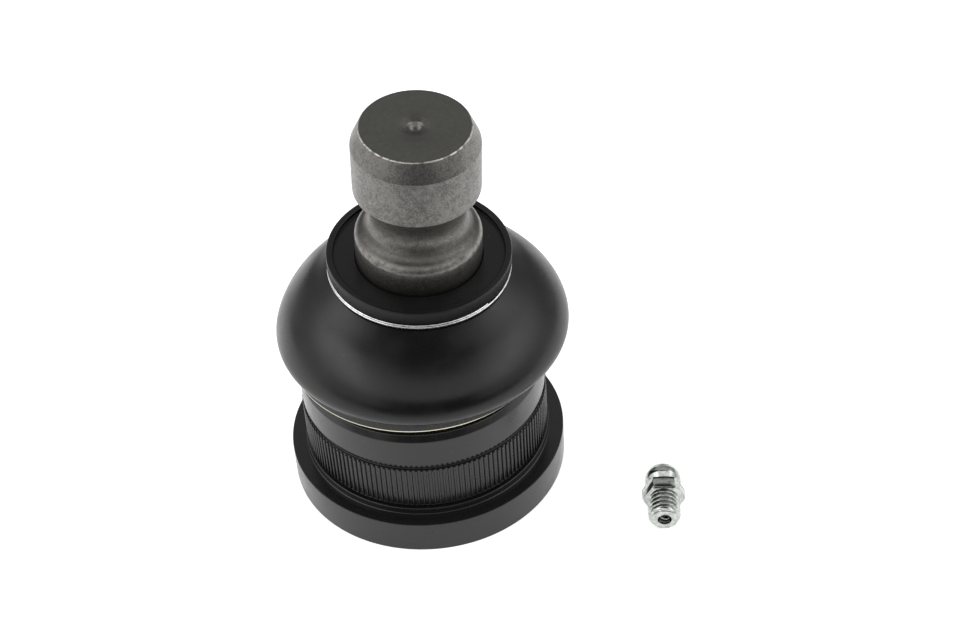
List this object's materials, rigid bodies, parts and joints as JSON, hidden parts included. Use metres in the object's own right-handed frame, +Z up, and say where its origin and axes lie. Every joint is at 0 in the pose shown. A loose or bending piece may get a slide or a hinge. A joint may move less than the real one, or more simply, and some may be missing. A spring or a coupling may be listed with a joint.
{
  "type": "suspension ball joint",
  "caption": "Press-in suspension ball joint with a pinch-bolt stud, a rubber dust boot and a loose grease fitting.",
  "frame": {"origin": "centre of the underside of the housing's flange, on which the joint stands", "axes": "+Z up the housing's axis, from the flange towards the stud; the stud leans 3.8 degrees towards +X -Y; the grease fitting lies towards +X -Y"},
  "size_m": [0.0727, 0.0551, 0.0809],
  "materials": {
    "housing_steel": "satin black coating over machined steel",
    "plate_steel": "pressed steel",
    "spring_steel": "bright spring steel",
    "sintered_steel": "dark sintered steel, oiled",
    "stud_steel": "bare forged and turned steel, mottled",
    "boot_rubber": "satin",
    "ring_steel": "plated",
    "clip_wire": "bright wire",
    "zinc_plate": "bright zinc plating"
  },
  "bodies": {
    "housing": {"housing": "housing_steel", "cover_plate": "plate_steel", "spring_washer": "spring_steel", "upper_seat_ring": "sintered_steel", "dust_boot": "boot_rubber", "boot_retaining_ring": "ring_steel"},
    "turning_cup": {"lower_pressure_cup": "sintered_steel"},
    "leaning_neck": {"boot_neck_clip": "clip_wire"},
    "stud": {"ball_stud": "stud_steel"},
    "grease_fitting": {"grease_fitting_body": "zinc_plate", "grease_check_spring": "clip_wire"},
    "check_ball": {"grease_check_ball": "spring_steel"}
  },
  "joints": [
    {"name": "bearing_turn", "type": "hinge", "parent": "housing", "child": "turning_cup", "pos_m": [0, 0, 0.0207], "axis": [0, 0, 1], "continuous": true},
    {"name": "stud_tilt", "type": "hinge", "parent": "turning_cup", "child": "leaning_neck", "pos_m": [0, 0, 0.0207], "axis": [0.7071, 0.7071, 0], "range_deg": [-25.8, 18.2], "deforming": ["dust_boot"]},
    {"name": "stud_spin", "type": "hinge", "parent": "leaning_neck", "child": "stud", "pos_m": [0, 0, 0.0207], "axis": [0.0469, -0.0469, 0.9978], "continuous": true},
    {"name": "fitting_lift", "type": "slide", "parent": "housing", "child": "grease_fitting", "axis": [0, 0, 1], "range_m": [0, 0.04]},
    {"name": "check_press", "type": "slide", "parent": "grease_fitting", "child": "check_ball", "axis": [-0.1219, -0.9925, 0], "range_m": [0, 0.001], "stiffness_N_per_m": 200, "springref_m": -0.001, "deforming": ["grease_check_spring"]}
  ]
}
